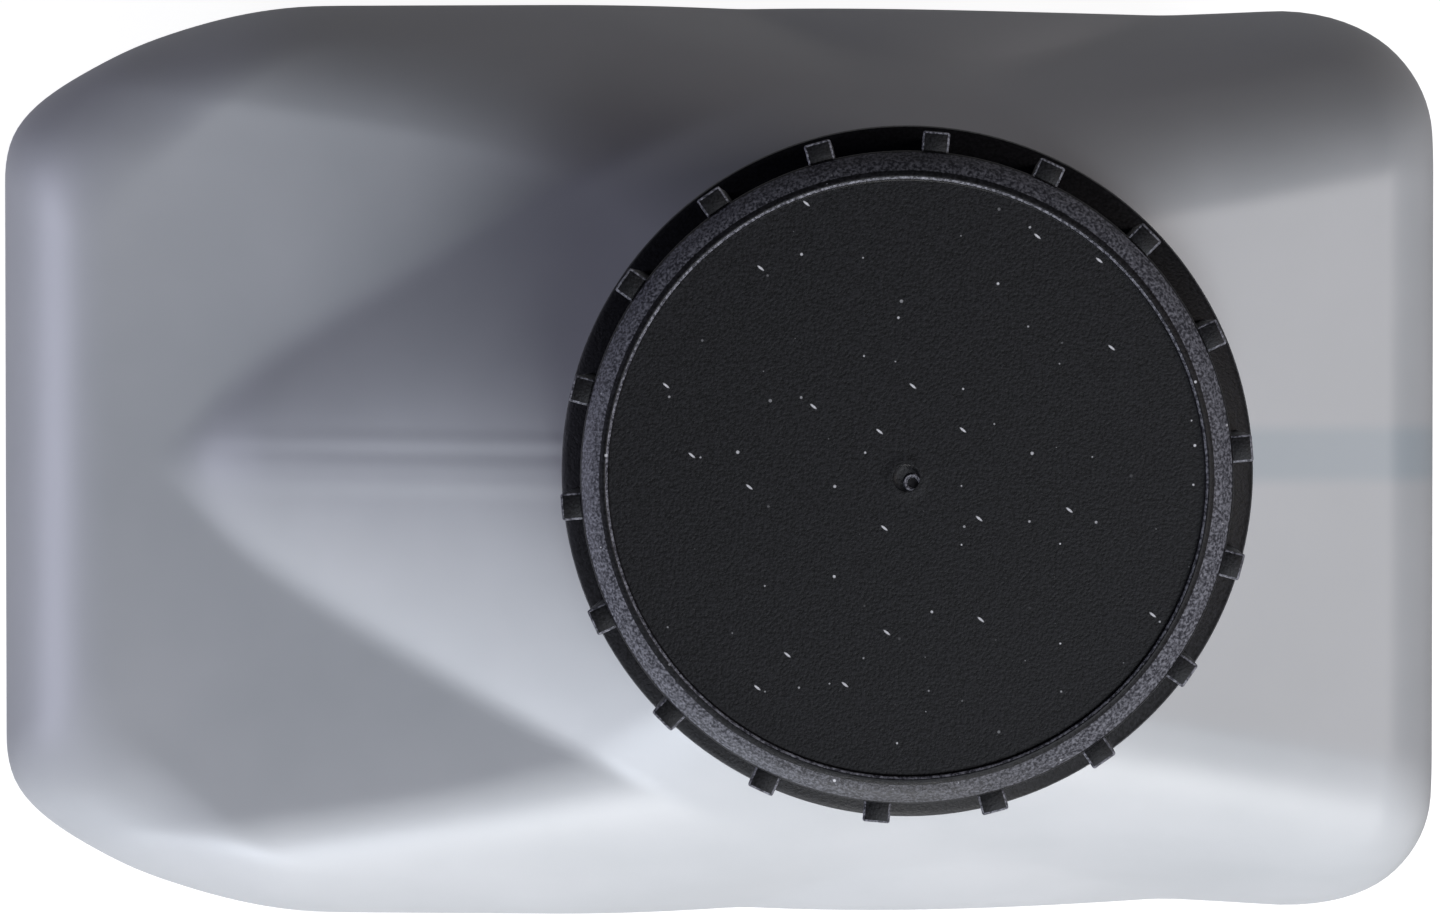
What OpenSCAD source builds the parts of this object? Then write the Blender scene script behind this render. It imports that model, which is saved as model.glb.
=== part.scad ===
// One-quart transmission fluid bottle with an offset neck and a ribbed screw cap.
// Origin at the centre of the base, +Z up, label faces towards -Y and +Y, neck towards +X.

/* [Body] */
// Length of the body, from the grip side to the neck side
body_l = 103.5; // [96:0.5:112]
// Depth of the body, from one label face to the other
body_w = 66.3; // [61:0.1:72]
// How far the label faces draw in between their ends
waist = 0.45; // [0:0.05:1]
// Height of the rim, where the walls turn into the shoulder
rim_h = 152; // [130:1:190]
// Thickness of the blown wall
wall = 1.1; // [0.8:0.1:1.6]
// Radius of the upright corners on the neck side
corner_r = 10; // [6:0.5:13]
// Length of the cut corners on the grip side, measured along the label face
cut_l = 15.2; // [10:0.1:20]
// Depth of the cut corners, measured along the grip side
cut_w = 8; // [6:0.1:11]
// Softness of the ends of the cut corners
cut_soft = 4; // [2:0.5:6]

/* [Shoulder] */
// Slope of the long sides of the shoulder, in degrees
side_slope = 62; // [54:1:66]
// Slope of the shelf that falls away on the grip side, in degrees
shelf_slope = 20; // [12:1:26]
// Height of the shelf above the rim where it passes under the neck fairing
shelf_h = 14; // [12:0.1:18]
// Fall of the rim towards the grip side, in degrees
rim_fall = 3; // [1:1:10]
// Slope of the flat between the neck and the nearer end wall, in degrees
end_slope = 18; // [8:1:24]
// How far that flat lies below the foot of the neck
end_drop = 6; // [3:0.5:8]
// Length of the fairing that runs from the neck down to the shelf
fairing_l = 51; // [44:0.5:54]
// Half width of the fairing where it meets the neck
fairing_w = 21.8; // [19:0.1:25]
// How fast the fairing widens: 1 for a straight wedge, less for a fuller bow
fairing_pow = 0.65; // [0.5:0.01:0.9]
// Rise of the fairing's crest above the shelf where it meets the neck
fairing_top = 7.2; // [4:0.1:8.5]
// Length over which the tip of the fairing rises out of the shelf
fairing_fade = 6; // [3:0.5:12]
// Softness of the outside edges of the shelf
edge_soft = 7.5; // [3:0.1:9]
// Softness of the outside edges of the flat on the neck side
end_soft = 9; // [4:0.5:12]
// Softness of the edge between a long side and the label face under it
side_soft = 5; // [2:0.5:6]
// Softness of the valleys beside the fairing
valley_soft = 0.7; // [0.5:0.05:3]
// Round-over where the shoulder meets the label faces and the neck-side wall
rim_r = 3.8; // [2.5:0.1:5]
// Round-over where the shelf meets the grip-side wall
grip_r = 12; // [7:0.5:14]

/* [Label faces] */
// How far the top of each label face leans in from the rim
arch_in = 5.3; // [3:0.1:6]
// Steepness of the leaning top of the label face, in degrees
arch_slope = 76; // [72:1:80]
// Half length of the arch along the top of the label face
arch_l = 30; // [26:0.5:34]
// Distance of the middle of the arch from the neck axis, towards the neck side
arch_off = 9.5; // [4:0.5:12]
// Depth of the sunk label panel
panel_in = 0.6; // [0.3:0.1:0.8]
// Distance from the base up to the label panel
panel_low = 20; // [16:1:30]
// Distance from the rim down to the label panel
panel_high = 26; // [24:1:36]
// Margin between the label panel and the upright corners
panel_side = 9; // [6:1:14]

/* [Base] */
// Radius between the walls and the base
base_r = 6; // [4:0.5:8]
// Width of the flat land that the bottle stands on
land_w = 4; // [3:0.5:6]
// Height of the push-up inside the land
push_up = 3; // [2:0.25:4]
// Distance over which the push-up climbs
push_run = 4; // [3:0.5:6]

/* [Neck] */
// Distance of the neck axis from the middle of the body
neck_x = 15; // [10:0.1:16]
// Height of the foot of the neck above the rim
neck_rise = 27; // [26:0.25:29]
// Outer radius of the neck between its threads
neck_r = 17.4; // [16.4:0.1:18]
// Thickness of the neck wall
neck_t = 1.9; // [1.6:0.1:2.4]
// Height of the stop ring that stands out under the cap
bead_h = 2; // [1.5:0.1:2.5]
// Radial height of the stop ring
bead_r = 1.3; // [1:0.1:1.4]
// Distance between turns of the thread
pitch = 4.23; // [3.8:0.01:4.8]
// Radial height of each thread
thread_r = 1.25; // [1.1:0.05:1.4]
// Thickness of a thread at its root
thread_root = 2; // [1.6:0.1:2.1]
// Thickness of a thread at its crest
thread_crest = 0.9; // [0.6:0.1:1.1]
// Turns of thread on the neck and in the cap
thread_turns = 1.25; // [1:0.05:1.5]
// Height of the first turn above the foot of the neck
thread_start = 7.5; // [7.5:0.25:8.25]

/* [Cap] */
// Height of the cap
cap_h = 20; // [18:0.5:24]
// Thickness of the cap's skirt
skirt_t = 1.95; // [1.6:0.05:2.4]
// Thickness of the cap's top at the rim
cap_top_t = 2; // [1.6:0.1:2.6]
// Depth of the sunk disc in the top
disc_in = 0.45; // [0.3:0.05:0.7]
// Width of the crest around the sunk disc
crest_w = 0.45; // [0.3:0.05:0.8]
// Radius of the cap's shoulder
cap_round = 1.3; // [1:0.1:1.6]
// How far the hem stands out from the skirt
hem_out = 2.2; // [1.8:0.1:2.6]
// Height of the hem
hem_h = 2.4; // [1.8:0.1:3]
// Number of grip ribs
rib_count = 18; // [12:1:24]
// Width of a grip rib
rib_w = 1.75; // [1.4:0.05:2.4]
// How far a grip rib stands out from the skirt
rib_out = 1.3; // [1:0.1:1.6]
// Turn of the first rib from +X, in degrees
rib_turn = 5; // [0:1:19]
// Radius of the gate mark in the middle of the top
gate_r = 1; // [0.6:0.1:1.4]
// Gap between the hem and the foot of the neck
hem_gap = 1; // [0.6:0.1:1.6]

/* [Seals] */
// Thickness of the wad in the cap
liner_t = 1.2; // [0.8:0.1:1.6]
// Thickness of the foil on the neck
foil_t = 0.25; // [0.15:0.05:0.4]

/* [Hidden] */

$fn = 96;
// Running clearance between thread crests and the facing wall
thread_gap = 0.4;
// Clearance between the flanks that bear on each other
flank_gap = 0.35;
// Clearance between stacked seals
seat_gap = 0.03;
// Clearance of the wad inside the cap
liner_gap = 0.2;
// How far one solid is let into the next where both are one moulding
bury = 0.4;
// Facet step of a thread, in degrees
thread_step = 6;
// Run over which a thread grows out of its wall, in degrees
thread_run = 24;

// Place on the grip side of the middle where the height of the shelf is taken
shelf_x = 11;
// Softness of the bend in the rim, and of the cone around the foot of the neck
rim_soft = 2;
cone_soft = 1.5;
// Where the round-over of the rim starts to grow towards the grip side, and over what length
grip_start = 20;
grip_run = 16;
// Heights above the underside of the hem: the foot, the groove over it, and the stop ring
foot_top = 0.4;
groove_low = 1.2;
groove_high = 2.4;
bead_low = 2.8;
// Chamfers of the lip, of the hem and of the ribs
lip_c = 0.8;
hem_c = 0.5;
rib_c = 0.3;
// Width of the edge of the label panel, and its ramp along the wall
panel_edge = 2;
panel_run = 4;

half_l = body_l / 2;
half_w = body_w / 2;

// Points around the body, and rings from the neck to the rim
stations = 88;
outer_rings = 16;
inner_rings = 10;

neck_z = rim_h + neck_rise;
stub_r = neck_r + bead_r / 2;
foot_r = neck_r + bead_r;
bore_r = neck_r - neck_t;
cap_inner_r = neck_r + thread_r + thread_gap;
cap_r = cap_inner_r + skirt_t;
cap_low = neck_z + hem_gap;
cap_ceiling = cap_low + cap_h - cap_top_t - disc_in;
liner_low = cap_ceiling - seat_gap - liner_t;
neck_top = liner_low - seat_gap - foil_t;
crest_r = cap_r - cap_round;
disc_r = crest_r - crest_w;

// Blends of the lower and of the higher of two heights, k wide
function low_of(a, b, k) = let (h = max(k - abs(a - b), 0) / k) min(a, b) - h * h * k / 4;
function high_of(a, b, k) = -low_of(-a, -b, k);
function ramp(t) = let (c = min(max(t, 0), 1)) c * c * (3 - 2 * c);

// Place along the arch of a label face, from -1 to 1, and the distance of a point from the
// middle plane, read as if the waisted label faces were flat
function along_arch(x) = (x - neck_x - arch_off) / arch_l;
function off(x, y) = abs(y) + waist * (1 - ramp(abs(along_arch(x))));

// Distance of a point in plan from the outline of the body, inwards positive
function box_inset(x, y) =
    let (qx = abs(x) - half_l + corner_r, qy = off(x, y) - half_w + corner_r)
    corner_r - norm([max(qx, 0), max(qy, 0)]) - min(max(qx, qy), 0);
function cut_inset(x, y) =
    -((-cut_w) * (x + half_l) + cut_l * (off(x, y) - half_w + cut_w)) / norm([cut_l, cut_w]);
function inset(x, y) = low_of(box_inset(x, y), cut_inset(x, y), cut_soft);

// Point on the ray at angle a from the middle of the body where the inset is d
function ray_search(a, d, near, far, steps) =
    let (mid = (near + far) / 2)
    steps == 0 ? [mid * cos(a), mid * sin(a)]
    : inset(mid * cos(a), mid * sin(a)) > d ? ray_search(a, d, mid, far, steps - 1)
    : ray_search(a, d, near, mid, steps - 1);
function station_angle(i) =
    let (s = 360 * i / stations) atan2(half_w * sin(s), half_l * cos(s));
function outline_point(i, d) = ray_search(station_angle(i), d, 0, body_l, 30);

// Heights of the shoulder above the base, with each face let down by the wall w
function rim_at(x) = rim_h - high_of(0, (-arch_l / 3 - x) * tan(rim_fall), rim_soft);
function side_face(x, y, w) =
    rim_at(x) + (half_w - off(x, y)) * tan(side_slope) - w / cos(side_slope);
function label_face(x, y, w) =
    let (away = along_arch(x),
         top = rim_h + arch_in * tan(side_slope),
         spread = arch_in * (tan(arch_slope) - tan(side_slope)))
    top + (half_w - arch_in - off(x, y)) * tan(arch_slope) + spread * away * away - w / cos(arch_slope);
function shelf(x, w) = rim_h + shelf_h + (x + shelf_x) * tan(shelf_slope) - w / cos(shelf_slope);
function end_flat(x, w) =
    rim_h + neck_rise - end_drop - (x - neck_x - foot_r) * tan(end_slope) - w / cos(end_slope);
function fairing(x, y, w) =
    let (along = max(x - neck_x + fairing_l, 0.01),
         grown = pow(along / (fairing_l - foot_r), fairing_pow),
         side = y / fairing_w / grown)
    shelf(x, w) + fairing_top * grown * ramp(along / fairing_fade) * (1 - side * side);
function neck_cone(x, y, w) =
    neck_z - (norm([x - neck_x, y]) - stub_r) * tan(side_slope) - w / cos(side_slope);
function round_over(x, y, w) =
    let (r = rim_r + (grip_r - rim_r) * ramp((grip_start - half_l - x) / grip_run) - w,
         in = max(r - max(inset(x, y) - w, 0), 0))
    r - sqrt(max(r * r - in * in, 0));
function shoulder_z(x, y, w) =
    let (left = high_of(shelf(x, w), fairing(x, y, w), valley_soft),
         top = low_of(left, end_flat(x, w), edge_soft),
         sides = low_of(side_face(x, y, w), label_face(x, y, w), side_soft),
         soft = edge_soft + (end_soft - edge_soft) * ramp((x - neck_x) / foot_r),
         hull = low_of(top, sides, soft))
    high_of(hull, neck_cone(x, y, w), cone_soft) - round_over(x, y, w);

// Ring of points on a wall at height z, let in by d, with the label panels sunk by p
function panel_share(x, y) =
    abs(y) < half_w - panel_edge - waist ? 0
    : ramp((x + half_l - cut_l - panel_side / 2) / panel_run) * ramp((half_l - panel_side - x) / panel_run);
function wall_ring(z, d, p) = [
    for (i = [0 : stations - 1])
        let (q = outline_point(i, d), s = p * panel_share(q[0], q[1]))
        [q[0], q[1] - sign(q[1]) * s, z]];

// Ring j of n of the shoulder: 0 at the neck and n at the wall
function shoulder_ring(j, n, w) = [
    for (i = [0 : stations - 1])
        let (q = outline_point(i, w),
             a = atan2(q[1], q[0] - neck_x),
             r = w == 0 ? stub_r : stub_r - w,
             c = [neck_x + r * cos(a), r * sin(a)],
             t = 1 - pow(1 - j / n, 1.6),
             p = c + (q - c) * t)
        [p[0], p[1], j == 0 ? neck_z - w : shoulder_z(p[0], p[1], w)]];

function flip(list) = [for (k = [len(list) - 1 : -1 : 0]) list[k]];

// Heights where the walls change: under the arch and the grip side's rim, and the panel's edges
arch_low = min(rim_h + arch_in * (tan(side_slope) - tan(arch_slope)), shoulder_z(-half_l, 0, 0)) - 4;
panel_top = min(rim_h - panel_high, arch_low - 4);

function wall_rings(w) = [
    wall_ring(arch_low, w, 0),
    wall_ring(panel_top, w, 0),
    wall_ring(panel_top - panel_edge, w, panel_in),
    wall_ring(panel_low + panel_edge, w, panel_in),
    wall_ring(panel_low, w, 0)];
function foot_rings(w) = concat(
    [for (a = [90 : -22.5 : 0])
        wall_ring(w + (base_r - w) * (1 - sin(90 - a)), w + (base_r - w) * (1 - cos(90 - a)), 0)],
    [wall_ring(w, base_r + land_w, 0),
     wall_ring(w + push_up, base_r + land_w + push_run, 0)]);

function skin(w, n) = concat(
    [for (j = [0 : n]) shoulder_ring(j, n, w)],
    wall_rings(w),
    foot_rings(w));

// A hollow shell: the outer skin down to the base, and the inner one back up, joined at the neck
module shell() {
    outer = skin(0, outer_rings);
    inner = skin(wall, inner_rings);
    m = len(outer);
    k = len(inner);
    n = stations;
    stub_out = [for (p = outer[0]) [p[0], p[1], neck_z + bury * 2]];
    stub_in = [for (p = inner[0]) [p[0], p[1], neck_z + bury * 2]];
    rings = concat([stub_out], outer, [stub_in], inner);
    count = len(rings);
    points = concat(
        [for (ring = rings) each ring],
        [[0, 0, push_up], [0, 0, push_up + wall]]);
    low_out = count * n;
    low_in = low_out + 1;
    last_out = m;
    first_in = m + 1;
    last_in = count - 1;
    faces = concat(
        [for (j = [0 : last_out - 1], i = [0 : n - 1])
            let (a = j * n + i, b = j * n + (i + 1) % n)
            each [[a, b, b + n], [a, b + n, a + n]]],
        [for (j = [first_in : last_in - 1], i = [0 : n - 1])
            let (a = j * n + i, b = j * n + (i + 1) % n)
            each [[a, b + n, b], [a, a + n, b + n]]],
        [for (i = [0 : n - 1])
            let (a = i, b = (i + 1) % n, c = first_in * n + i, d = first_in * n + (i + 1) % n)
            each [[a, d, b], [a, c, d]]],
        [for (i = [0 : n - 1]) [last_out * n + i, last_out * n + (i + 1) % n, low_out]],
        [for (i = [0 : n - 1]) [last_in * n + (i + 1) % n, last_in * n + i, low_in]]);
    polyhedron(points = points, faces = faces, convexity = 6);
}

// A helical thread from angle 0, with its root on radius r and its crest at r + out
module thread(r, out, low) {
    steps = floor(thread_turns * 360 / thread_step);
    side = sign(out);
    rings = [for (s = [0 : steps])
        let (a = s * thread_step,
             z = low + pitch * a / 360,
             grow = min(1, 0.08 + min(a, steps * thread_step - a) / thread_run),
             crest = r + out * grow,
             root = r - side * bury)
        [for (c = [[root, -thread_root / 2], [crest, -thread_crest / 2],
                   [crest, thread_crest / 2], [root, thread_root / 2]])
            [c[0] * cos(a), c[0] * sin(a), z + c[1]]]];
    points = [for (ring = rings) each ring];
    walls = [for (s = [0 : steps - 1], c = [0 : 3])
        let (p = s * 4 + c, q = s * 4 + (c + 1) % 4)
        each [[p, q, q + 4], [p, q + 4, p + 4]]];
    ends = [[3, 2, 1, 0], [for (c = [0 : 3]) steps * 4 + c]];
    faces = concat(walls, ends);
    polyhedron(points = points, faces = side < 0 ? [for (f = faces) flip(f)] : faces, convexity = 4);
}

// The neck finish: a bored tube with its stop ring, foot and thread
module neck() {
    translate([neck_x, 0, 0]) {
        rotate_extrude() polygon([
            [bore_r, neck_z - wall - bury],
            [foot_r, neck_z - wall - bury],
            [foot_r, cap_low + foot_top],
            [neck_r, cap_low + groove_low],
            [neck_r, cap_low + groove_high],
            [foot_r, cap_low + bead_low],
            [foot_r, cap_low + bead_low + bead_h / 2],
            [neck_r, cap_low + bead_low + bead_h],
            [neck_r, neck_top - lip_c],
            [neck_r - lip_c / 2, neck_top],
            [bore_r, neck_top]]);
        thread(neck_r, thread_r, neck_z + thread_start);
    }
}

module bottle() {
    color("#9aa0a8") union() {
        shell();
        neck();
    }
}

module rib() {
    low = cap_low + hem_h / 2;
    high = cap_low + cap_h - cap_round - rib_c;
    root = cap_r - bury;
    tip = cap_r + rib_out;
    translate([0, 0, low])
        linear_extrude(height = high - low)
            polygon([[root, -rib_w / 2], [tip - rib_c, -rib_w / 2], [tip, -rib_w / 2 + rib_c],
                     [tip, rib_w / 2 - rib_c], [tip - rib_c, rib_w / 2], [root, rib_w / 2]]);
}

module cap_body() {
    top = cap_low + cap_h;
    rotate_extrude() polygon(concat(
        [[0, cap_ceiling],
         [cap_inner_r, cap_ceiling],
         [cap_inner_r, cap_low],
         [cap_r + hem_out - hem_c, cap_low],
         [cap_r + hem_out, cap_low + hem_c],
         [cap_r + hem_out, cap_low + hem_h * 0.7],
         [cap_r + hem_out / 3, cap_low + hem_h],
         [cap_r, cap_low + hem_h + hem_c]],
        [for (a = [0 : 15 : 90])
            [crest_r + cap_round * cos(a), top - cap_round + cap_round * sin(a)]],
        [[disc_r, top],
         [disc_r - 0.2, top - disc_in],
         [gate_r, top - disc_in],
         [gate_r * 0.6, top - disc_in - gate_r * 0.35],
         [0, top - disc_in - gate_r * 0.35]]));
}

module cap() {
    color("#232326") translate([neck_x, 0, 0]) union() {
        cap_body();
        for (k = [0 : rib_count - 1]) rotate(rib_turn + k * 360 / rib_count) rib();
        thread(cap_inner_r, -thread_r,
            neck_z + thread_start - (thread_root + thread_crest) / 2 - flank_gap);
    }
}

module cap_liner() {
    color("#e8e6df") translate([neck_x, 0, liner_low])
        cylinder(r = cap_inner_r - liner_gap, h = liner_t);
}

module foil_seal() {
    color("#c9ccd0") translate([neck_x, 0, neck_top])
        cylinder(r = neck_r - lip_c / 2, h = foil_t);
}

bottle();
cap();
cap_liner();
foil_seal();
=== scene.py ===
import bpy
import bmesh
from math import atan2, cos, hypot, pi, radians, sin, sqrt, tan
from mathutils import Matrix, Vector


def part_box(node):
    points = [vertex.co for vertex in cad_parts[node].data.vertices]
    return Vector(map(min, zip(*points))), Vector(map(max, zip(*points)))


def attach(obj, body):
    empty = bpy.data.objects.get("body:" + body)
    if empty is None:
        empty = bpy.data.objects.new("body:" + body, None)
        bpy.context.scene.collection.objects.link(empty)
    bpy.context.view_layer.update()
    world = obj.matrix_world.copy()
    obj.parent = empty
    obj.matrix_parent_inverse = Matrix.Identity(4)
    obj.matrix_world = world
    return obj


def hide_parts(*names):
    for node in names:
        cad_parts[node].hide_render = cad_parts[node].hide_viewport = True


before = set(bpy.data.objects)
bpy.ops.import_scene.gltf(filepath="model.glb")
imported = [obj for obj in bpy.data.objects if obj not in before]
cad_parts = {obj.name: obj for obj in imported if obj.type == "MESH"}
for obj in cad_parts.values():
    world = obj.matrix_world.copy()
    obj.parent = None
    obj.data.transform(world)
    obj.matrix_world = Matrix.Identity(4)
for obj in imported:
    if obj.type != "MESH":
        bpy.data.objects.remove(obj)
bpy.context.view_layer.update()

# BOTTLE
# The quart bottle itself: one shell of silver-grey HDPE, blown into a two-part mould, with the
# neck finish moulded on. The skin is one loop of points, extruded ring by ring from the inside
# of the base, up through the bore, over the lip, and down the outside to the base again.
body_l, body_w, waist, rim_h, wall = 103.5, 66.3, 0.45, 152, 1.1
corner_r, cut_l, cut_w, cut_soft = 10, 15.2, 8, 4
side_slope, shelf_slope, shelf_h, rim_fall, end_slope, end_drop = 62, 20, 14, 3, 18, 6
fairing_l, fairing_w, fairing_pow, fairing_top, fairing_fade = 54, 21.8, 0.78, 9, 9
edge_soft, end_soft, valley_soft, side_soft, cone_soft = 7.5, 9, 0.7, 5, 1.5
mid_soft, mid_x, mid_run = 3, 3, 24
rim_r, grip_r, grip_start, grip_run = 3.8, 9.5, 26, 14
shelf_x, seam_x, seam_run = -11, -38, 16
arch_in, arch_slope, arch_l, arch_off = 5.3, 76, 30, 9.5
panel_in, panel_low, panel_high, panel_side = 0.6, 20, 26, 9
base_r, land_w, push_up, push_run = 6, 4, 3, 4
neck_x, neck_rise, neck_r, neck_t, bead_h, bead_r = 15, 27, 17.4, 1.9, 2, 1.3
pitch, thread_r, thread_root, thread_crest, thread_turns, thread_start = 4.23, 1.25, 2, 0.9, 1.25, 7.5
hem_gap = 1

half_l, half_w = body_l / 2, body_w / 2
neck_z = rim_h + neck_rise
neck_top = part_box("foil_seal")[0].z * 1000
foot_r, stub_r, bore_r = neck_r + bead_r, neck_r + bead_r / 2, neck_r - neck_t


def slope(degrees):
    return tan(radians(degrees))


def low_of(a, b, k):
    """The lower of two heights, with their crossing rounded over k."""
    h = max(k - abs(a - b), 0) / k
    return min(a, b) - h * h * k / 4


def high_of(a, b, k):
    return -low_of(-a, -b, k)


def ramp(t):
    t = min(max(t, 0), 1)
    return t * t * (3 - 2 * t)


def along_arch(x):
    return (x - neck_x - arch_off) / arch_l


def off(x, y):
    """How far out a point lies in width, with the waist taken out."""
    return abs(y) + waist * (1 - ramp(abs(along_arch(x))))


def inset(x, y):
    """How far a point in plan lies inside the outline of the body."""
    out = off(x, y)
    qx, qy = abs(x) - half_l + corner_r, out - half_w + corner_r
    square = corner_r - hypot(max(qx, 0), max(qy, 0)) - min(max(qx, qy), 0)
    cut = (cut_w * (x + half_l) - cut_l * (out - half_w + cut_w)) / hypot(cut_l, cut_w)
    return low_of(square, cut, cut_soft)


def shelf(x, w):
    """The flat that falls from the neck to the grip side, let in by the wall w."""
    return rim_h + shelf_h + (x - shelf_x) * slope(shelf_slope) - w / cos(radians(shelf_slope))


def seam_mark(x, y):
    """The scar of the mould's parting line down the crest of the fairing: a thin bead and a flat."""
    bead = 0.06 * ramp(1 - abs(y - 1.7) / 1)
    flat = 0.09 * ramp((y + 2.4) / 1.4) * ramp((1.2 - y) / 1.4)
    return (bead + flat) * ramp((x - seam_x) / seam_run)


def shoulder_z(x, y, w):
    """The height of the shoulder above a point in plan, let in by the wall w."""
    out = off(x, y)
    rim = rim_h - high_of(0, (-arch_l / 3 - x) * slope(rim_fall), 2)
    side = rim + (half_w - out) * slope(side_slope) - w / cos(radians(side_slope))
    lean = arch_in * (slope(arch_slope) - slope(side_slope)) * along_arch(x) ** 2
    label = (rim_h + arch_in * slope(side_slope) + (half_w - arch_in - out) * slope(arch_slope)
             + lean - w / cos(radians(arch_slope)))
    end = (rim_h + neck_rise - end_drop - (x - neck_x - foot_r) * slope(end_slope)
           - w / cos(radians(end_slope)))
    along = max(x - neck_x + fairing_l, 0.01)
    grown = (along / (fairing_l - foot_r)) ** fairing_pow
    rise = fairing_top * along / (fairing_l - foot_r)
    fade = valley_soft * (1 - ramp(along / fairing_fade))
    fairing = shelf(x, w) + rise * (1 - (y / fairing_w / grown) ** 2) - fade
    cone = (neck_z - (hypot(x - neck_x, y) - stub_r) * slope(side_slope)
            - w / cos(radians(side_slope)))
    left = high_of(shelf(x, w), fairing, valley_soft)
    top = low_of(left, end, edge_soft)
    soft = (edge_soft + (end_soft - edge_soft) * ramp((x - neck_x) / foot_r)
            + mid_soft * ramp(1 - abs(x - mid_x) / mid_run))
    hull = low_of(top, low_of(side, label, side_soft), soft)
    r = rim_r + (grip_r - rim_r) * ramp((grip_start - half_l - x) / grip_run) - w
    near = max(r - max(inset(x, y) - w, 0), 0)
    z = high_of(hull, cone, cone_soft) - r + sqrt(max(r * r - near * near, 0))
    return z + (seam_mark(x, y) if x < neck_x else 0)


spokes = 400


def on_outline(i, d, kept={}):
    """Where spoke i crosses the outline let in by d."""
    if (i, d) not in kept:
        turn = 2 * pi * i / spokes
        angle = atan2(half_w * sin(turn), half_l * cos(turn))
        near, far = 0, body_l
        for _ in range(24):
            mid = (near + far) / 2
            near, far = (mid, far) if inset(mid * cos(angle), mid * sin(angle)) > d else (near, mid)
        kept[i, d] = (near * cos(angle), near * sin(angle))
    return kept[i, d]


def wall_ring(z, d, sunk=0):
    def place(i):
        x, y = on_outline(i, d)
        if abs(y) > half_w - 3:
            y -= (sunk if y > 0 else -sunk) * (ramp((x + half_l - cut_l - panel_side / 2) / 3)
                                               * ramp((half_l - panel_side - x) / 3))
        return x, y, z
    return place


def shoulder_ring(share, w):
    def place(i):
        x, y = on_outline(i, w)
        angle = atan2(y, x - neck_x)
        r = (stub_r if w else foot_r) - w
        t = 1 - (1 - share) ** 1.6
        px = neck_x + r * cos(angle) + (x - neck_x - r * cos(angle)) * t
        py = r * sin(angle) + (y - r * sin(angle)) * t
        return px, py, shoulder_z(px, py, w)
    return place


def neck_ring(r, z):
    def place(i):
        x, y = on_outline(i, 0)
        angle = atan2(y, x - neck_x)
        return neck_x + r * cos(angle), r * sin(angle), z
    return place


def foot_rings(w):
    """The round edge of the base, the land it stands on, and the pushed-up middle."""
    r, rings = base_r - w, []
    for step in range(8, -1, -1):
        a = radians(90 * step / 8)
        rings.append(wall_ring(w + r * (1 - cos(a)), w + r * (1 - sin(a))))
    rings.append(wall_ring(w, base_r + land_w * 0.6))
    for step in range(1, 8):
        t = step / 7
        rings.append(wall_ring(w + push_up * ramp(t), base_r + land_w + push_run * t))
    return rings


arch_low = min(rim_h + arch_in * (slope(side_slope) - slope(arch_slope)),
               shoulder_z(-half_l, 0, 0)) - 4
panel_top = min(rim_h - panel_high, arch_low - 4)
panel_rings = [wall_ring(arch_low, 0), wall_ring(panel_top + 1, 0)]
for step in range(7):
    panel_rings.append(wall_ring(panel_top - step * 0.4, 0, panel_in * ramp(step / 6)))
for step in range(6, -1, -1):
    panel_rings.append(wall_ring(panel_low + step * 0.4, 0, panel_in * ramp(step / 6)))
panel_rings.append(wall_ring(panel_low - 1, 0))

neck_profile = [
    (bore_r, neck_z), (bore_r, neck_top - 0.5), (bore_r + 0.15, neck_top - 0.15),
    (bore_r + 0.5, neck_top), (neck_r - 0.8, neck_top), (neck_r - 0.35, neck_top - 0.2),
    (neck_r - 0.1, neck_top - 0.6), (neck_r, neck_top - 1),
    (neck_r, neck_z + hem_gap + 3.1 + bead_h), (neck_r + 0.1, neck_z + hem_gap + 2.9 + bead_h),
    (foot_r - 0.1, neck_z + hem_gap + 3 + bead_h * 0.5),
    (foot_r, neck_z + hem_gap + 2.8 + bead_h * 0.5),
    (foot_r, neck_z + hem_gap + 2.9), (foot_r - 0.15, neck_z + hem_gap + 2.7),
    (neck_r + 0.1, neck_z + hem_gap + 2.4), (neck_r, neck_z + hem_gap + 2.2),
    (neck_r, neck_z + hem_gap + 1.4), (neck_r + 0.1, neck_z + hem_gap + 1.2),
    (foot_r - 0.15, neck_z + hem_gap + 0.5), (foot_r, neck_z + hem_gap + 0.3)]

skin = ([neck_ring(r, z) for r, z in neck_profile]
        + [shoulder_ring(j / 90, 0) for j in range(91)]
        + panel_rings + foot_rings(0))
lining = ([shoulder_ring(j / 30, wall) for j in range(31)]
          + [wall_ring(arch_low, wall), wall_ring(base_r * 2, wall)] + foot_rings(wall))

bm = bmesh.new()
spoke = bm.verts.layers.int.new("spoke")
first = bmesh.ops.create_circle(bm, segments=spokes, radius=1, cap_ends=True, cap_tris=True)["verts"]
rim = [v for v in first if v.is_boundary]
rim.sort(key=lambda v: atan2(v.co.y, v.co.x) % (2 * pi))
centre = next(v for v in first if not v.is_boundary)
start = lining[-1]
for i, v in enumerate(rim):
    v[spoke] = i
    v.co = start(i)
centre.co = (0, 0, push_up + wall)
edges = [e for e in bm.edges if e.is_boundary]
for place in lining[-2::-1] + skin:
    made = bmesh.ops.extrude_edge_only(bm, edges=edges)["geom"]
    for v in made:
        if isinstance(v, bmesh.types.BMVert):
            v.co = place(v[spoke])
    edges = [e for e in made if isinstance(e, bmesh.types.BMEdge) and e.is_boundary]
made = bmesh.ops.extrude_edge_only(bm, edges=edges)["geom"]
bmesh.ops.pointmerge(bm, verts=[v for v in made if isinstance(v, bmesh.types.BMVert)],
                     merge_co=(0, 0, push_up))
bmesh.ops.recalc_face_normals(bm, faces=bm.faces)


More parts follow.
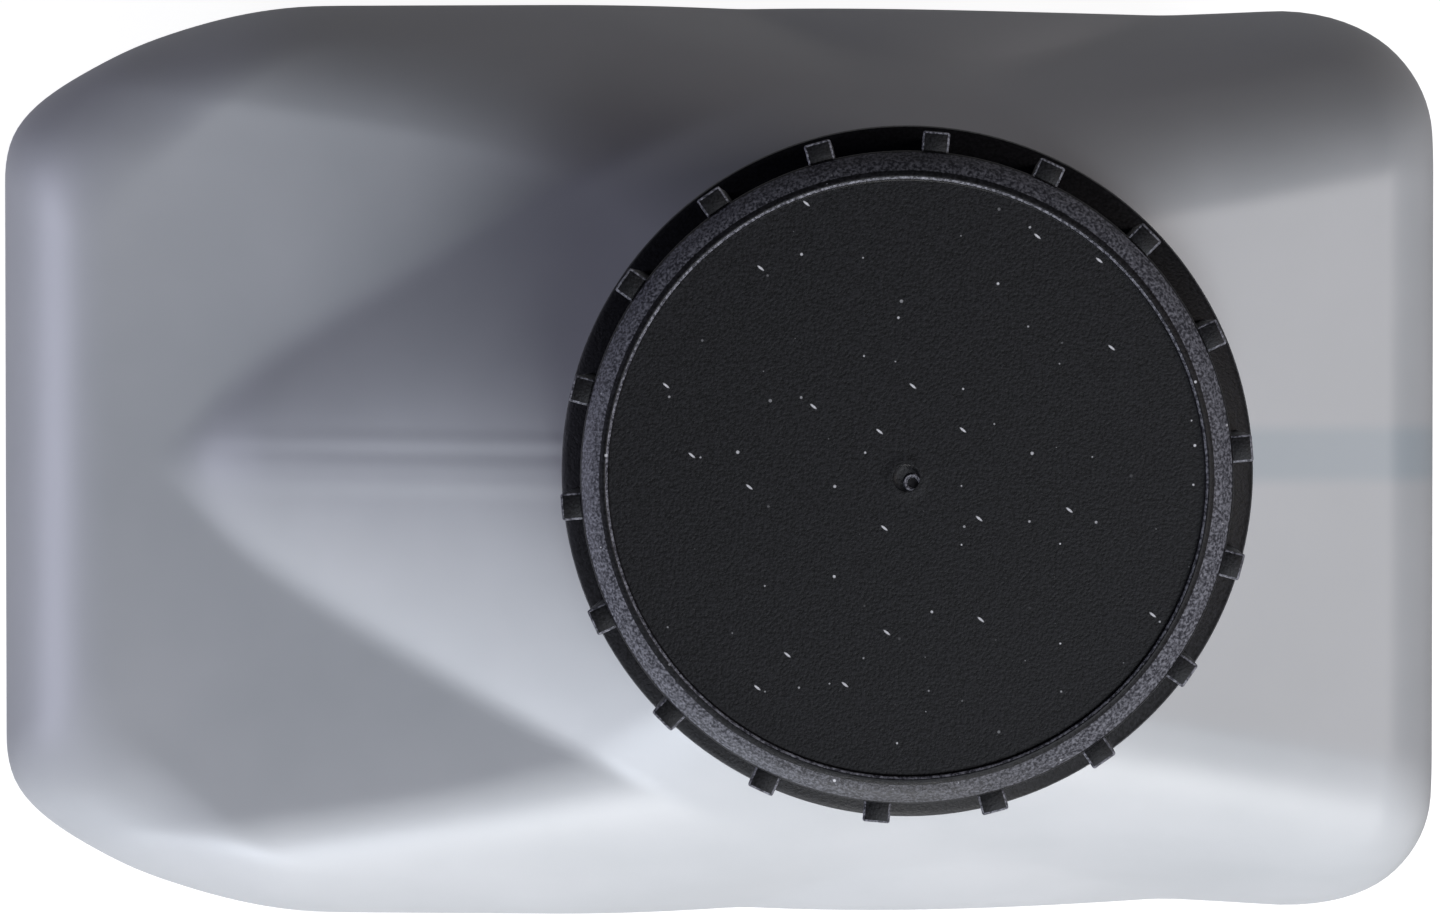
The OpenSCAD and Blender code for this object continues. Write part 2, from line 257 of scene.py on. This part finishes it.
def wind_thread(bm, r, out, low, centre_x):
    """Winds a thread: its section spun and raised by the pitch, run down to nothing at both ends."""
    root = r - (0.4 if out > 0 else -0.4)
    section = [(root, -thread_root / 2), (r, -thread_root / 2),
               (r + out * 0.85, -thread_crest / 2 - 0.12), (r + out, -thread_crest / 2 + 0.1),
               (r + out, thread_crest / 2 - 0.1), (r + out * 0.85, thread_crest / 2 + 0.12),
               (r, thread_root / 2), (root, thread_root / 2)]
    steps = int(thread_turns * 90)
    face = bm.faces.new([bm.verts.new((centre_x + a, 0, low + b)) for a, b in section])
    bmesh.ops.spin(bm, geom=[face, *face.edges, *face.verts], cent=(centre_x, 0, 0),
                   axis=(0, 0, 1), dvec=(0, 0, pitch * thread_turns / steps),
                   angle=2 * pi * thread_turns, steps=steps)
    seen, wave = set(face.verts), list(face.verts)
    while wave:
        v = wave.pop()
        for e in v.link_edges:
            if e.other_vert(v) not in seen:
                seen.add(e.other_vert(v))
                wave.append(e.other_vert(v))
    for v in seen:
        turn = atan2(v.co.y, v.co.x - centre_x) / (2 * pi) % 1
        whole = round((v.co.z - low) / pitch - turn)
        run = min(turn + whole, thread_turns - turn - whole) * 360
        far = hypot(v.co.x - centre_x, v.co.y)
        if (far - r) * out > 0:
            grow = min(1, 0.08 + max(run, 0) / 24)
            scale = (r + (far - r) * grow) / far
            v.co.x, v.co.y = centre_x + (v.co.x - centre_x) * scale, v.co.y * scale
    faces = {f for v in seen for f in v.link_faces}
    bmesh.ops.recalc_face_normals(bm, faces=list(faces))


wind_thread(bm, neck_r, thread_r, neck_z + thread_start, neck_x)


def finish_piece(bm, name, material, body, angle=None):
    """Makes the piece from its bmesh in millimetres, dresses it and lets it ride its body."""
    bmesh.ops.scale(bm, vec=(0.001, 0.001, 0.001), verts=bm.verts)
    mesh = bpy.data.meshes.new(name)
    bm.to_mesh(mesh)
    bm.free()
    mesh.shade_smooth()
    if angle:
        mesh.set_sharp_from_angle(angle=radians(angle))
    piece = bpy.data.objects.new(name, mesh)
    bpy.context.scene.collection.objects.link(piece)
    mesh.materials.append(material)
    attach(piece, body)
    return piece


def linear(code):
    parts = [int(code[k:k + 2], 16) / 255 for k in (1, 3, 5)]
    return [p / 12.92 if p <= 0.04045 else ((p + 0.055) / 1.055) ** 2.4 for p in parts] + [1]


def new_material(name):
    """A material, its Principled shader, and functions that add a node and a link."""
    material = bpy.data.materials.new(name)
    material.use_nodes = True
    tree = material.node_tree

    def add(kind, settings={}, **links):
        node = tree.nodes.new("ShaderNode" + kind)
        for key, value in settings.items():
            if isinstance(key, int) or key in node.inputs:
                node.inputs[key].default_value = value
            else:
                setattr(node, key, value)
        for key, value in links.items():
            place = int(key[1:]) if key[0] == "_" else key.replace("_", " ")
            tree.links.new(value, node.inputs[place])
        return node

    return material, tree.nodes["Principled BSDF"], add, tree.links.new


def two_tones(add, value, low, dark, high, light):
    """A colour ramp that runs from one tone at low to another at high."""
    node = add("ValToRGB", Fac=value)
    ends = node.color_ramp.elements
    ends[0].position, ends[0].color = low, linear(dark)
    ends[1].position, ends[1].color = high, linear(light)
    return node


# Blown HDPE with a fine silver pigment: satin, soft-edged highlights, the faint clouding and
# orange peel of a melt blown against a blasted mould, and a clearer strip of resin as a gauge.
resin, shader, add, link = new_material("silver_hdpe_blown")
place = add("TexCoord").outputs["Object"]
axes = add("SeparateXYZ", Vector=place).outputs
cloud = add("TexNoise", {"Scale": 1 / 0.022, "Detail": 3.0, "Roughness": 0.6}, Vector=place)
cloud = cloud.outputs["Fac"]
tone = two_tones(add, cloud, 0.3, "#A8AAAC", 0.7, "#B1B2B4")
across = add("Math", {"operation": "SUBTRACT", 1: 0.0009}, _0=axes["Y"]).outputs[0]
across = add("Math", {"operation": "ABSOLUTE"}, _0=across).outputs[0]
strip = add("MapRange", {"interpolation_type": "SMOOTHSTEP", "From Min": 0.0025, "From Max": 0.0011},
            Value=across).outputs[0]
right = add("MapRange", {"From Min": 0.014, "From Max": 0.016}, Value=axes["X"]).outputs[0]
strip = add("Math", {"operation": "MULTIPLY"}, _0=strip, _1=right).outputs[0]
colour = add("Mix", {"data_type": "RGBA", 7: linear("#9CA3A8")}, _0=strip, _6=tone.outputs["Color"])
link(colour.outputs[2], shader.inputs["Base Color"])
peel = add("TexNoise", {"Scale": 1 / 0.0016, "Detail": 2.0, "Roughness": 0.5}, Vector=place)
peel = peel.outputs["Fac"]
sink = add("TexNoise", {"Scale": 1 / 0.014, "Detail": 1.0}, Vector=place).outputs["Fac"]
rough = add("MapRange", {"To Min": 0.36, "To Max": 0.46}, Value=cloud).outputs[0]
link(rough, shader.inputs["Roughness"])
wide = add("Bump", {"Strength": 0.25, "Distance": 0.0004}, Height=sink).outputs[0]
fine = add("Bump", {"Strength": 0.12, "Distance": 0.00006}, Height=peel, Normal=wide).outputs[0]
link(fine, shader.inputs["Normal"])
shader.inputs["IOR"].default_value = 1.54
shader.inputs["Subsurface Weight"].default_value = 0.1
shader.inputs["Subsurface Radius"].default_value = (0.002, 0.002, 0.002)

bottle = finish_piece(bm, "bottle_shell", resin, "bottle_body", 50)
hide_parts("bottle")

# FOIL SEAL
# A disc of aluminium foil, heat-sealed to the lip of the neck. The sealing head leaves a ring
# where it pressed the foil flat, and the middle stays lightly creased.
foil, shader, add, link = new_material("aluminium_foil_sealed")
place = add("TexCoord").outputs["Object"]
crease = add("TexNoise", {"Scale": 1 / 0.006, "Detail": 4.0, "Roughness": 0.55}, Vector=place)
crease = crease.outputs["Fac"]
shade = add("MapRange", {"To Min": 0.22, "To Max": 0.42}, Value=crease).outputs[0]
link(shade, shader.inputs["Roughness"])
creased = add("Bump", {"Strength": 0.5, "Distance": 0.0003}, Height=crease).outputs[0]
link(creased, shader.inputs["Normal"])
shader.inputs["Base Color"].default_value = linear("#D2D4D6")
shader.inputs["Metallic"].default_value = 1.0
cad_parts["foil_seal"].data.materials.clear()
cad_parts["foil_seal"].data.materials.append(foil)

# WAD
# The pulpboard wad pressed into the cap, faced with a thin film. Its fibres show through as a
# warm, slightly uneven white.
board, shader, add, link = new_material("pulpboard_wad_cut")
place = add("TexCoord").outputs["Object"]
fibre = add("TexNoise", {"Scale": 1 / 0.0012, "Detail": 5.0, "Roughness": 0.65}, Vector=place)
fibre = fibre.outputs["Fac"]
tone = two_tones(add, fibre, 0, "#D8D3C6", 1, "#EFECE4")
link(tone.outputs["Color"], shader.inputs["Base Color"])
felted = add("Bump", {"Strength": 0.3, "Distance": 0.0001}, Height=fibre).outputs[0]
link(felted, shader.inputs["Normal"])
shader.inputs["Roughness"].default_value = 0.7
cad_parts["cap_liner"].data.materials.clear()
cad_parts["cap_liner"].data.materials.append(board)

# SCREW CAP
# The closure, injection moulded in black polypropylene: a sunk disc with the gate mark in its
# middle, a blasted shoulder, eighteen grip ribs down to a flared hem, and a thread inside.
cap_low, cap_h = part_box("cap")[0].z * 1000, 20
skirt_t, cap_top_t, disc_in, crest_w, cap_round = 1.95, 2, 0.45, 0.45, 1.3
hem_out, hem_h, thread_gap, flank_gap = 2.2, 2.4, 0.4, 0.35
rib_count, rib_w, rib_out, rib_turn = 18, 1.75, 1.3, 5
cap_inner = neck_r + thread_r + thread_gap
cap_r = cap_inner + skirt_t
cap_top = cap_low + cap_h
ceiling = cap_top - cap_top_t - disc_in
hem_r, hem_top = cap_r + hem_out, cap_low + hem_h
crest = cap_r - cap_round
disc, disc_z = crest - crest_w, cap_top - disc_in

skirt = [(cap_inner, cap_low + 0.4), (cap_inner + 0.4, cap_low), (hem_r - 0.6, cap_low),
         (hem_r - 0.15, cap_low + 0.15), (hem_r, cap_low + 0.6), (hem_r, cap_low + hem_h * 0.6),
         (hem_r - 0.1, cap_low + hem_h * 0.75), (hem_r - 0.4, cap_low + hem_h * 0.85),
         (cap_r + hem_out * 0.35, hem_top), (cap_r + 0.3, hem_top + 0.3),
         (cap_r + 0.1, hem_top + 0.8), (cap_r, hem_top + 2)]
chamfer = [(cap_r, cap_top - cap_round - 0.2), (cap_r - 0.03, cap_top - cap_round - 0.1),
           (cap_r - 0.11, cap_top - cap_round), (crest + 0.62, cap_top - 0.56),
           (crest + 0.5, cap_top - 0.46), (crest, cap_top - 0.16), (crest - 0.1, cap_top - 0.1),
           (crest - 0.2, cap_top - 0.04), (crest - 0.3, cap_top)]
step_wall = [(disc + 0.1, cap_top), (disc + 0.05, cap_top - 0.02), (disc - 0.06, cap_top - 0.09),
             (disc - 0.1, cap_top - 0.14), (disc - 0.14, disc_z + 0.06), (disc - 0.2, disc_z),
             (disc - 1, disc_z)]
flat = [(r, disc_z) for r in (16, 12, 8, 5, 3, 1.8, 1.2)]
gate = [(1, disc_z + 0.03), (0.88, disc_z + 0.02), (0.76, disc_z - 0.1), (0.55, disc_z - 0.16),
        (0, disc_z - 0.18)]
inside = [(cap_inner, cap_low + 0.4), (cap_inner, ceiling - 0.4), (cap_inner - 0.4, ceiling),
          (0, ceiling)]

bm = bmesh.new()
for line in (skirt + chamfer + step_wall + flat + gate, inside):
    points = [bm.verts.new((neck_x + r, 0, z)) for r, z in line]
    run = [bm.edges.new(pair) for pair in zip(points, points[1:])]
    bmesh.ops.spin(bm, geom=points + run, cent=(neck_x, 0, 0), axis=(0, 0, 1), angle=2 * pi, steps=180,
                   use_merge=True)
bmesh.ops.remove_doubles(bm, verts=bm.verts, dist=0.0005)
bmesh.ops.recalc_face_normals(bm, faces=bm.faces)

# A face attribute sets how much of the lighter grey each face of the cap takes. The blasted shoulder
# takes some for its grain, and more towards its two sides along x: painted light from the low side
# lamps. The edge round the sunk disc takes it fully: a painted highlight.
worn = bm.faces.layers.float.new("worn")
for face in bm.faces:
    far = face.calc_center_median() - Vector((neck_x, 0, cap_top - cap_round))
    reach = hypot(far.x, far.y)
    if crest < reach and 0 < far.z:
        face[worn] = 0.3 + 0.5 * abs(far.x) / reach
    if disc - 0.1 < reach < disc + 0.04 and cap_round - 0.16 < far.z:
        face[worn] = 1
rib_low, rib_high = cap_low + hem_h / 2, cap_top - cap_round - 0.3
for k in range(rib_count):
    rib = bmesh.ops.create_cube(bm, size=1)["verts"]
    bmesh.ops.scale(bm, vec=(rib_out + 0.4, rib_w, rib_high - rib_low), verts=rib)
    edges = {e for v in rib for e in v.link_edges}
    # The bevels round each rib take the lighter grey in full: a painted highlight along the rib edges.
    for face in bmesh.ops.bevel(bm, geom=list(edges), offset=0.14, segments=2, affect="EDGES",
                                profile=0.5, material=-1)["faces"]:
        face[worn] = 1
    rib = [v for v in bm.verts if abs(v.co.x) < 2 and abs(v.co.y) < 2 and abs(v.co.z) < 10]
    bmesh.ops.translate(bm, vec=(cap_r + rib_out / 2 - 0.2, 0, (rib_low + rib_high) / 2), verts=rib)
    bmesh.ops.rotate(bm, cent=(0, 0, 0), verts=rib,
                     matrix=Matrix.Rotation(radians(rib_turn + k * 360 / rib_count), 3, "Z"))
    bmesh.ops.translate(bm, vec=(neck_x, 0, 0), verts=rib)
nub_pit = 0.28
points = [bm.verts.new((r, 0, z)) for r, z in
          ((0.62, -0.2), (0.56, 0.06), (0.5, 0.12), (0.42, 0.1), (0.3, -0.08), (0, -0.12))]
run = [bm.edges.new(pair) for pair in zip(points, points[1:])]
bmesh.ops.spin(bm, geom=points + run, cent=(0, 0, 0), axis=(0, 0, 1), angle=2 * pi, steps=32,
               use_merge=True)


def near_origin():
    return [v for v in bm.verts if hypot(v.co.x, v.co.y) < 0.7 and abs(v.co.z) < 1]


bmesh.ops.remove_doubles(bm, verts=near_origin(), dist=0.0005)
nub = near_origin()
nub_faces = {f for v in nub for f in v.link_faces}
bmesh.ops.recalc_face_normals(bm, faces=list(nub_faces))
# The rim of the gate nub takes the lighter grey in full.
for face in nub_faces:
    if face.calc_center_median().xy.length > nub_pit:
        face[worn] = 1
bmesh.ops.translate(bm, vec=(neck_x + 0.38, -0.28, disc_z - 0.1), verts=nub)
wind_thread(bm, cap_inner, -thread_r,
            neck_z + thread_start - (thread_root + thread_crest) / 2 - flank_gap, neck_x)

# Black PP moulded against a spark-eroded steel: a fine even grain, a lighter grey on the blasted
# shoulder, that grey also painted as light on the shoulder's sides and as painted highlights on the rib
# bevels and the disc's edge, with dust in the grain and a few scuffs from handling.
black, shader, add, link = new_material("black_pp_moulded")
place = add("TexCoord").outputs["Object"]
grain = add("TexNoise", {"Scale": 1 / 0.0002, "Detail": 2.0, "Roughness": 0.6}, Vector=place)
grain = grain.outputs["Fac"]
tone = two_tones(add, grain, 0.35, "#0C0C0D", 0.7, "#1E1E21")
blast_grey_and_highlight = two_tones(add, grain, 0.4, "#34343A", 0.68, "#85858D")
dust = add("TexVoronoi", {"voronoi_dimensions": "2D", "Scale": 1 / 0.0021, "Randomness": 1.0},
           Vector=place)
size = add("SeparateColor", Color=dust.outputs["Color"]).outputs
near = add("MapRange", {"From Min": 0.6, "From Max": 1.0, "To Min": -0.01, "To Max": 0.05},
           Value=size[0]).outputs[0]
speck = add("Math", {"operation": "SUBTRACT"}, _0=near, _1=dust.outputs["Distance"]).outputs[0]
speck = add("MapRange", {"From Min": -0.012, "From Max": 0.012}, Value=speck).outputs[0]
speck = add("Math", {"operation": "MULTIPLY"}, _0=speck, _1=size[1]).outputs[0]
turned = add("Mapping", {"vector_type": "TEXTURE", "Rotation": (0.0, 0.0, 0.9),
                         "Scale": (1.0, 3.5, 1.0)}, Vector=place).outputs[0]
scuffs = add("TexVoronoi", {"voronoi_dimensions": "2D", "Scale": 1 / 0.0012, "Randomness": 1.0},
             Vector=turned)
scuff = add("MapRange", {"From Min": 0.07, "From Max": 0.04},
            Value=scuffs.outputs["Distance"]).outputs[0]
rare = add("SeparateColor", Color=scuffs.outputs["Color"]).outputs[1]
rare = add("Math", {"operation": "GREATER_THAN", 1: 0.93}, _0=rare).outputs[0]
scuff = add("Math", {"operation": "MULTIPLY"}, _0=scuff, _1=rare).outputs[0]
marks = add("Math", {"operation": "MAXIMUM"}, _0=speck, _1=scuff).outputs[0]
height = add("SeparateXYZ", Vector=place).outputs["Z"]
top_starts = (cap_top - cap_round) / 1000
on_top = add("Math", {"operation": "GREATER_THAN", 1: top_starts}, _0=height).outputs[0]
marks = add("Math", {"operation": "MULTIPLY"}, _0=marks, _1=on_top).outputs[0]
# The lighter grey goes where the face attribute asks for it: blasted grain on the shoulder, painted
# light on its sides, painted highlights on the rib bevels, the disc's edge and the nub's rim.
edge = add("Attribute", {"attribute_name": "worn"}).outputs["Fac"]
edge = add("Mix", {"data_type": "RGBA"}, _0=edge, _6=tone.outputs["Color"], _7=blast_grey_and_highlight.outputs["Color"])
colour = add("Mix", {"data_type": "RGBA", 7: linear("#C8C8CC")}, _0=marks, _6=edge.outputs[2])
link(colour.outputs[2], shader.inputs["Base Color"])
rough = add("MapRange", {"To Min": 0.36, "To Max": 0.6}, Value=grain).outputs[0]
link(rough, shader.inputs["Roughness"])
eroded = add("Bump", {"Strength": 0.6, "Distance": 0.00005}, Height=grain).outputs[0]
link(eroded, shader.inputs["Normal"])
shader.inputs["IOR"].default_value = 1.49
shader.inputs["Specular IOR Level"].default_value = 0.2

cap = finish_piece(bm, "screw_cap", black, "cap_body", 35)
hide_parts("cap")

# FLOOR, LIGHT AND CAMERA
# A white sweep under the bottle, five softboxes round its shoulder (two on the side of the near
# label face, one at the corner, one behind the grip side, a high one past the neck), and a camera
# high above the neck, aimed at the body.
floor_white, shader, add, link = new_material("white_paper_floor")
seen = add("LightPath").outputs
place = add("TexCoord").outputs["Object"]
grain = add("TexNoise", {"Scale": 1 / 0.004, "Detail": 3.0}, Vector=place).outputs["Fac"]
tooth = add("Bump", {"Strength": 0.1, "Distance": 0.0002}, Height=grain).outputs[0]
link(tooth, shader.inputs["Normal"])
shader.inputs["Base Color"].default_value = linear("#8E8E8E")
shader.inputs["Roughness"].default_value = 0.8
mirrored = add("Math", {"operation": "MULTIPLY", 1: 0.15}, _0=seen["Is Glossy Ray"]).outputs[0]
glow = add("Math", {"operation": "ADD"}, _0=seen["Is Camera Ray"], _1=mirrored).outputs[0]
glow = add("Math", {"operation": "MULTIPLY", 1: 0.9}, _0=glow).outputs[0]
link(glow, shader.inputs["Emission Strength"])
shader.inputs["Emission Color"].default_value = linear("#FFFFFF")
bm = bmesh.new()
bmesh.ops.create_grid(bm, x_segments=8, y_segments=8, size=4)
mesh = bpy.data.meshes.new("floor")
bm.to_mesh(mesh)
bm.free()
floor = bpy.data.objects.new("floor", mesh)
bpy.context.scene.collection.objects.link(floor)
mesh.materials.append(floor_white)

world = bpy.data.worlds.new("soft_room")
world.use_nodes = True
world.node_tree.nodes["Background"].inputs["Color"].default_value = linear("#A9ACE4")
world.node_tree.nodes["Background"].inputs["Strength"].default_value = 0.03
bpy.context.scene.world = world


def softbox(name, azimuth, elevation, height, watts, tint):
    """A softbox a metre from the shoulder of the bottle, 400 mm wide, that faces it."""
    shoulder = Vector((0, 0, 0.155))
    away = Matrix.Rotation(radians(azimuth), 3, "Z") @ Matrix.Rotation(radians(-elevation), 3, "Y")
    lamp = bpy.data.lights.new(name, "AREA")
    lamp.shape, lamp.size, lamp.size_y, lamp.energy = "RECTANGLE", 0.4, height, watts
    lamp.color = linear(tint)[:3]
    holder = bpy.data.objects.new(name, lamp)
    holder.location = shoulder + away @ Vector((1, 0, 0))
    holder.rotation_euler = (holder.location - shoulder).to_track_quat("Z", "Y").to_euler()
    holder.visible_camera = False
    bpy.context.scene.collection.objects.link(holder)


softbox("softbox_high_near_side", 300, 60, 0.4, 6, "#F1F7FF")
softbox("softbox_low_near_side", 270, 8, 0.4, 7.4, "#FFFFFF")
softbox("softbox_low_near_corner", 240, -0.6, 0.28, 4.1, "#EDF4FF")
softbox("softbox_low_grip_side", 180, -0.6, 0.28, 3.4, "#E6E6FF")
softbox("softbox_neck_side", 0, 45, 0.4, 3.1, "#FFF7F5")

lens, height, aim = 148.2, 0.4275, Vector((0.0015, 0.0001, rim_h / 1000))
camera = bpy.data.objects.new("camera", bpy.data.cameras.new("camera"))
camera.data.lens, camera.data.sensor_width = lens, 36
camera.data.clip_start, camera.data.clip_end = 0.05, 20
camera.location = (0.0155, 0.0095, aim.z + height)
back = (camera.location - aim).normalized()
across = Vector((0, 1, 0)).cross(back).normalized()
camera.rotation_euler = Matrix((across, back.cross(across), back)).transposed().to_euler()
bpy.context.scene.collection.objects.link(camera)
bpy.context.scene.camera = camera
bpy.context.scene.view_settings.view_transform = "Standard"
